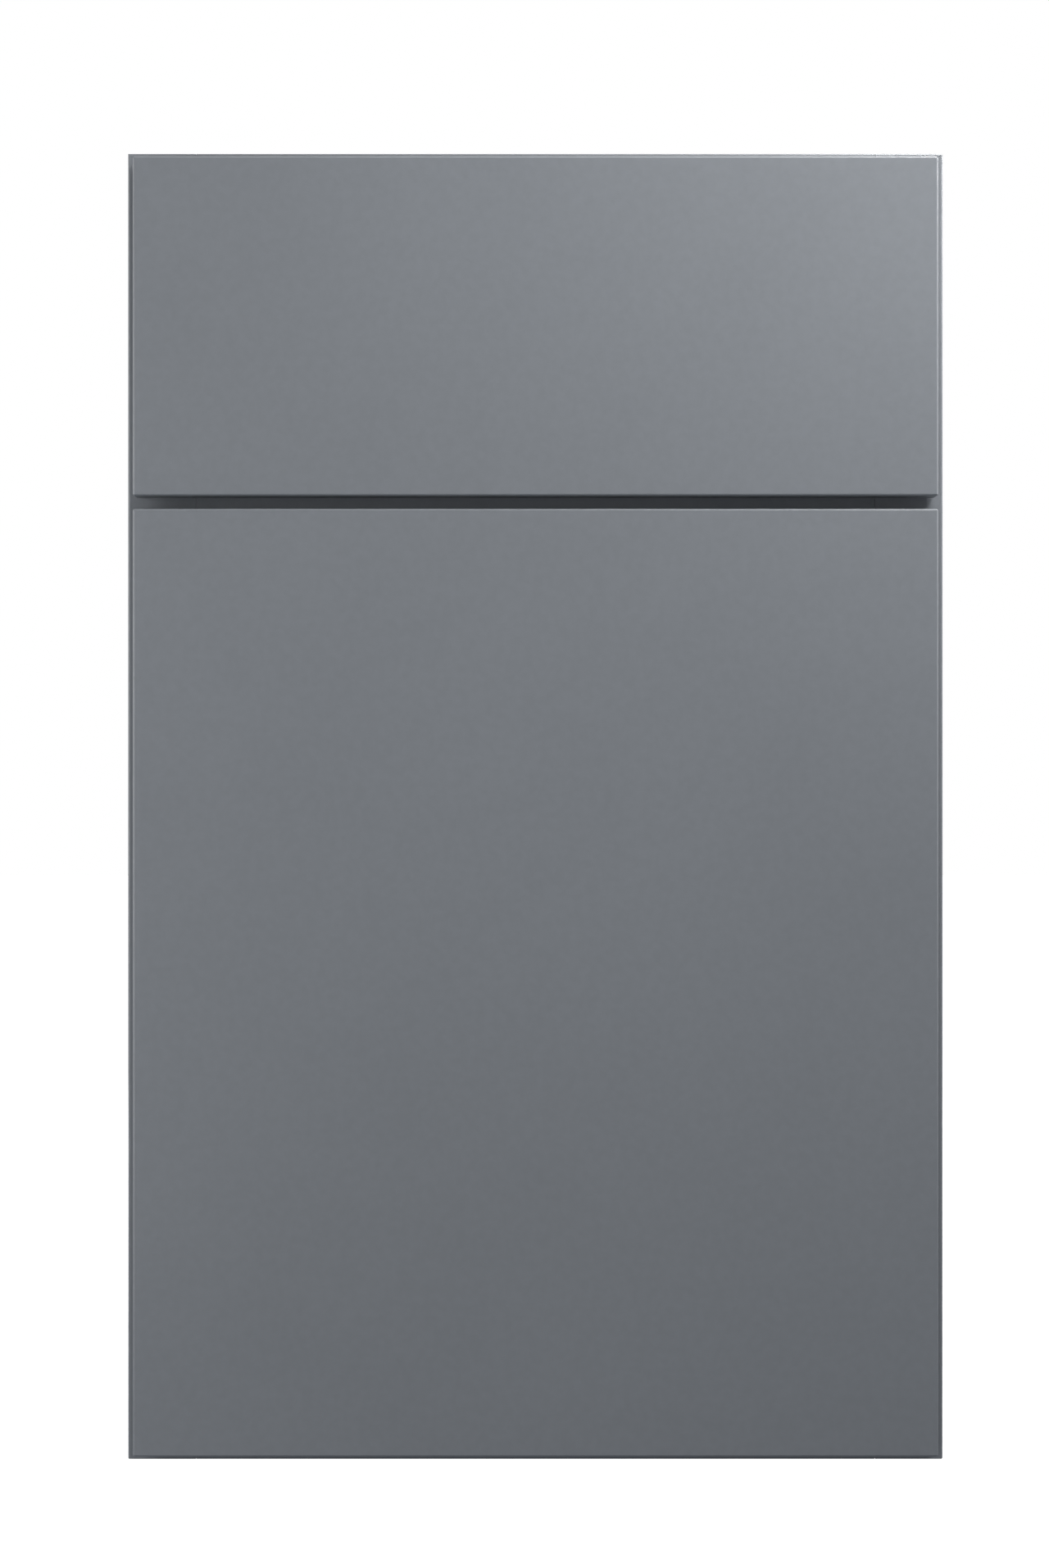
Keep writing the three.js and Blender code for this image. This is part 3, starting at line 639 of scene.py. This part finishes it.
FRAME_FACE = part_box("stile_left")[0].y
FRAME_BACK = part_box("stile_left")[1].y
FRAME_EDGE = abs(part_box("stile_left")[0].x)
FRAME_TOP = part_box("stile_left")[1].z
CASE_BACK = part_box("back_panel")[0].y
CASE_SIDE = abs(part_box("side_panel_left")[0].x)
CASE_INNER = abs(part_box("side_panel_left")[1].x)
NEAR = 0.3 * MM  # what lies closer to a plane than this is taken to be on it
FRAME_ARRIS = 1.2 * MM
GROOVE = 7 * MM  # a little more than the depth of a groove in a side panel
PIN_HOLE = {
    "radius": 2.75 * MM,
    "depth": 10 * MM,
    "first": 110 * MM,
    "pitch": 32 * MM,
    "count": 11,
    "inset": 50 * MM,
}
RAILS = ("top", "middle", "bottom")
# the slanted pockets behind the rails; the faces of a pocket are all farther back than "from"
POCKET = {"slope": math.radians(15), "rise": 9.5 * MM, "reach": 11.5 * MM, "from": 1 * MM}
ALONG_Z, ALONG_X = 0.99, 0.9  # a pocket's slanted walls have less of each axis in their normals
PANEL_FACING = 0.5  # as FACING, for the sides' two broad faces and their eased edges


def side_panel_face(middle, normal):
    """Paint outside and on top, veneer inside, bare layers on every other cut."""
    if abs(normal.x) > PANEL_FACING:
        return 1 if abs(middle.x) - CASE_INNER < GROOVE else 0
    return 3 if normal.z > FACING and middle.z > FRAME_TOP - GROOVE else 2


def side_panels():
    rows = (FRAME_BACK + PIN_HOLE["inset"], CASE_BACK - PIN_HOLE["inset"])
    heights = [PIN_HOLE["first"] + i * PIN_HOLE["pitch"] for i in range(PIN_HOLE["count"])]
    for hand, sign in HANDS.items():
        node = f"side_panel_{hand}"
        obj = finished(node, 0.35 * MM)
        tool = bmesh.new()
        for y in rows:
            for z in heights:
                mouth = (sign * CASE_INNER, y, z)
                bore(tool, mouth, (sign, 0, 0), PIN_HOLE["radius"], PIN_HOLE["depth"], segments=24)
        carve(obj, tool)
        dress(obj, [PAINT, VENEERS["z"], EDGES["x"], DULL_PAINT], side_panel_face)
        shows(obj, node)


def panel(node, faces, thick, width=0.3 * MM, dull_top=False):
    """A plywood board: veneer on its two faces, layers on its edges, and dull paint on top if asked."""

    def choose(middle, normal):
        if dull_top and normal.z > FACING:
            return 2
        return 0 if abs(normal[AXES.index(thick)]) > FACING else 1

    obj = finished(node, width)
    dress(obj, [faces, EDGES[thick], DULL_PAINT], choose)
    shows(obj, node)


def outer_edge(start, end):
    """Picks the long front edges on the outline of the whole face frame."""
    in_front = max(start.y, end.y) < FRAME_FACE + NEAR
    at_side = min(abs(start.x), abs(end.x)) > FRAME_EDGE - NEAR
    at_top = min(start.z, end.z) > FRAME_TOP - NEAR
    return in_front and (at_side or at_top)


def frame_member(node):
    """A stile or a rail; only the outer arrises of the frame are round."""
    bm = cad_copy(node)
    ease(bm, FRAME_ARRIS, segments=5, chosen=outer_edge)
    ease(bm, 0.2 * MM, segments=2)
    return mesh_object(f"{node}_finished", bm)


def bare_stile(middle, normal):
    """The back of a stile, inside the case."""
    return middle.y > FRAME_BACK - NEAR and abs(middle.x) < CASE_SIDE


def bare_rail(middle, normal):
    """The back of a rail and its pockets."""
    slanted = abs(normal.z) < ALONG_Z and abs(normal.x) < ALONG_X
    return middle.y > FRAME_BACK - NEAR or (middle.y > FRAME_FACE + POCKET["from"] and slanted)


def face_frame():
    """Painted wherever it shows, with clear maple behind."""
    for hand, sign in HANDS.items():
        obj = frame_member(f"stile_{hand}")
        split_at(obj, sign * CASE_SIDE)
        dress(obj, [PAINT, SOLIDS["z"]], bare_stile)
        shows(obj, f"stile_{hand}")
    for where in RAILS:
        obj = frame_member(f"rail_{where}")
        dress(obj, [PAINT, SOLIDS["x"]], bare_rail)
        shows(obj, f"rail_{where}")


def pocket_screws(mesh):
    """The screws that join the frame, at the bottom of the slanted pockets."""
    places = []
    for where in RAILS:
        centre = middle_of(f"rail_{where}")
        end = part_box(f"rail_{where}")[1].x
        for sign in HANDS.values():
            way = Vector((-sign * math.cos(POCKET["slope"]), math.sin(POCKET["slope"]), 0))
            for rise in (-POCKET["rise"], POCKET["rise"]):
                start = Vector((sign * end, centre.y, centre.z + rise))
                places.append(pointing(start + way * POCKET["reach"], way))
    fixings("pocket_screws", mesh, places, "case")


# ------------------------------------------------------------------ fronts

ARRIS = 1.3 * MM
CUP = {"radius": 17.5 * MM, "depth": 12.8 * MM, "from_pin": 12.7 * MM}
DRAWER_SCREW_BORE = {"radius": 2.1 * MM, "depth": 12 * MM}
CUP_SCREW_BORE = {"radius": 1.95 * MM, "depth": 12 * MM}
DOME_STEPS = 8
DOME_RIM = 0.25  # the straight part of a bumper, in its heights
DOME_FULLNESS = 0.7  # below 1 the dome is fuller than a half ellipse


def slab(node, bores):
    """A painted slab front with soft arrises and its bores."""
    bm = block(*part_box(node))
    ease(bm, ARRIS, segments=5)
    obj = mesh_object(f"{node}_finished", bm)
    carve(obj, bores)
    dress(obj, [PAINT])
    shows(obj, node)


def back_bore(bm, at, front, size, segments=16):
    """Adds the cutter of a hole in the back face of a front, level with a point."""
    mouth = (at.x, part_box(front)[1].y, at.z)
    bore(bm, mouth, (0, -1, 0), size["radius"], size["depth"], segments)


def drawer_front():
    bores = bmesh.new()
    for hand in HANDS:
        back_bore(bores, middle_of(f"drawer_front_screw_{hand}"), "drawer_front", DRAWER_SCREW_BORE)
    slab("drawer_front", bores)


def door():
    bores = bmesh.new()
    for end in ENDS:
        cup = middle_of(f"hinge_pin_{end}") + Vector((CUP["from_pin"], 0, 0))
        back_bore(bores, cup, "door_panel", CUP, segments=64)
        for side in ("bottom", "top"):
            back_bore(bores, middle_of(f"cup_screw_{end}_{side}"), "door_panel", CUP_SCREW_BORE)
    slab("door_panel", bores)


def bumpers():
    """Clear domes behind the fronts."""
    for node in ("drawer_bumper_left", "drawer_bumper_right", "door_bumper_bottom", "door_bumper_top"):
        low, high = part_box(node)
        height = high.y - low.y
        radius = (high.z - low.z) / 2
        steps = [math.pi / 2 / DOME_STEPS * i for i in range(DOME_STEPS)]
        widths = [radius * math.cos(a) ** DOME_FULLNESS for a in steps]
        heights = [height * (DOME_RIM + (1 - DOME_RIM) * math.sin(a)) for a in steps]
        dome = zip(widths, heights)
        bm = lathe([(0, 0), (radius, 0), *dome, (0, height)], 48)
        foot = end_of(node, "y", height)
        bmesh.ops.transform(bm, matrix=pointing(foot, (0, 1, 0)), verts=bm.verts)
        obj = mesh_object(f"{node}_finished", bm)
        dress(obj, [URETHANE])
        shows(obj, node)


# ------------------------------------------------------------------ drawer box

BOARD_END = 0.8  # as FACING, for the ends of the boards


def drawer_box():
    """Solid maple, with end grain at both ends of each board."""
    boards = {f"drawer_side_{hand}": "y" for hand in HANDS}
    boards |= {f"drawer_box_{end}": "x" for end in ("front", "back")}
    for node, grain in boards.items():
        along = AXES.index(grain)
        obj = finished(node)
        dress(obj, [SOLIDS[grain], END_GRAIN], lambda middle, normal: abs(normal[along]) > BOARD_END)
        shows(obj, node)
    panel("drawer_bottom", VENEERS["x"], "z", 0.2 * MM)


# ------------------------------------------------------------------ runners and catches

RAIL_HOLES = (-200 * MM, -120 * MM, -30 * MM, 60 * MM, 150 * MM)
SIDE_HOLE = {"radius": 2 * MM, "up": 8 * MM}
FLOOR_HOLE = {"radius": 1.7 * MM, "inward": 36 * MM, "behind": 30 * MM}
SHEET_CUT = 8 * MM
RUNNER_SCREW = {"inward": 1.6 * MM, "behind": 9.5 * MM, "up": 7 * MM}
BRACKET_SCREWS = {"outward": (-12 * MM, 8 * MM), "ahead": 3.6 * MM, "down": 6 * MM}
CATCH_SCREWS = {"outward_and_behind": ((131 * MM, 6 * MM), (112 * MM, 34 * MM)), "down": 3 * MM}


def rail_corner(hand):
    """Where the outer face of a cabinet rail meets its underside: x and z."""
    low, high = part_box(f"runner_cabinet_rail_{hand}")
    return HANDS[hand] * max(abs(low.x), abs(high.x)), low.z


def cabinet_rail(hand, sign):
    """The rail on the case, with its rows of holes."""
    node = f"runner_cabinet_rail_{hand}"
    outer, under = rail_corner(hand)
    holes = bmesh.new()
    for y in RAIL_HOLES:
        centre = (outer, y, under + SIDE_HOLE["up"])
        cylinder(holes, centre, (1, 0, 0), SIDE_HOLE["radius"], SHEET_CUT, 20)
        centre = (outer - sign * FLOOR_HOLE["inward"], y + FLOOR_HOLE["behind"], under)
        cylinder(holes, centre, (0, 0, 1), FLOOR_HOLE["radius"], SHEET_CUT, 20)
    rail = finished(node, 0.4 * MM)
    carve(rail, holes)
    dress(rail, [ZINC])
    shows(rail, node)


def runner_fixings(hand, sign, mesh):
    """The screws of the cabinet rail, the rear bracket and the catch."""
    outer, under = rail_corner(hand)
    x = outer - sign * RUNNER_SCREW["inward"]
    y = FRAME_FACE + RUNNER_SCREW["behind"]
    seat = (x, y, under + RUNNER_SCREW["up"])
    fixings(f"runner_screw_{hand}", mesh, [pointing(seat, (-sign, 0, 0))], "case")
    bracket = end_of(f"runner_rear_bracket_{hand}", "y", BRACKET_SCREWS["ahead"])
    bracket.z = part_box(f"runner_rear_bracket_{hand}")[1].z - BRACKET_SCREWS["down"]
    seats = [bracket + Vector((sign * outward, 0, 0)) for outward in BRACKET_SCREWS["outward"]]
    fixings(f"bracket_screws_{hand}", mesh, [pointing(seat, (0, -1, 0)) for seat in seats], "case")
    front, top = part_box(f"drawer_catch_{hand}")[0].y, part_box(f"drawer_catch_{hand}")[1].z
    places = [
        pointing((sign * outward, front + behind, top - CATCH_SCREWS["down"]), (0, 0, -1))
        for outward, behind in CATCH_SCREWS["outward_and_behind"]
    ]
    fixings(f"catch_screws_{hand}", mesh, places, "drawer")


def runners(mesh):
    for hand, sign in HANDS.items():
        cabinet_rail(hand, sign)
        for name in ("runner_middle_rail", "runner_drawer_rail"):
            plain(f"{name}_{hand}", ZINC, 0.4 * MM)
        for name in ("runner_rear_bracket", "soft_closer", "drawer_catch"):
            plain(f"{name}_{hand}", GREY, 0.5 * MM)
        plain(f"catch_lever_{hand}", ORANGE, 0.5 * MM)
        runner_fixings(hand, sign, mesh)


# ------------------------------------------------------------------ hinges


def hinges(cup_screw, arm_screw):
    for end in ENDS:
        plain(f"hinge_cup_{end}", NICKEL)
        plain(f"hinge_arm_{end}", NICKEL, 0.35 * MM)
        plain(f"hinge_pin_{end}", NICKEL, 0.2 * MM)
        for side in ("bottom", "top"):
            screw_for(f"cup_screw_{end}_{side}", cup_screw, "y", 0.6 * MM)
            screw_for(f"arm_screw_{end}_{side}", arm_screw, "x", 2 * MM)


# ------------------------------------------------------------------ assembly

make_camera()
make_lights()
make_world()
make_stage()
bpy.context.scene.view_settings.view_transform = "Standard"

side_panels()
panel("bottom_panel", VENEERS["x"], "z")
panel("top_panel", VENEERS["x"], "z", 0.4 * MM, dull_top=True)
panel("back_panel", VENEERS["z"], "y")
for level in ("top", "middle", "bottom"):
    panel(f"hanging_rail_{level}", VENEERS["x"], "y", 0.5 * MM)
panel("shelf", VENEERS["x"], "z")
plain("shelf_edge_band", SOLIDS["x"], 0.2 * MM)
for hand in HANDS:
    for end in ("front", "back"):
        plain(f"shelf_pin_{end}_{hand}", NICKEL, 0.35 * MM)
face_frame()
pocket_screws(screw_mesh(4.2 * MM, 2 * MM, 1.7 * MM, 30 * MM))
door()
drawer_front()
front_screw = screw_mesh(5 * MM, 2.4 * MM, 1.7 * MM, 27 * MM)
for hand in HANDS:
    screw_for(f"drawer_front_screw_{hand}", front_screw, "y", 2.4 * MM)
bumpers()
drawer_box()
runners(screw_mesh(3.2 * MM, 1.8 * MM, 1.6 * MM, 12 * MM))
cup_screw = screw_mesh(3.3 * MM, 0.9 * MM, 1.6 * MM, 12 * MM, pan=False)
hinges(cup_screw, screw_mesh(3.6 * MM, 1.9 * MM, 1.6 * MM, 17 * MM))
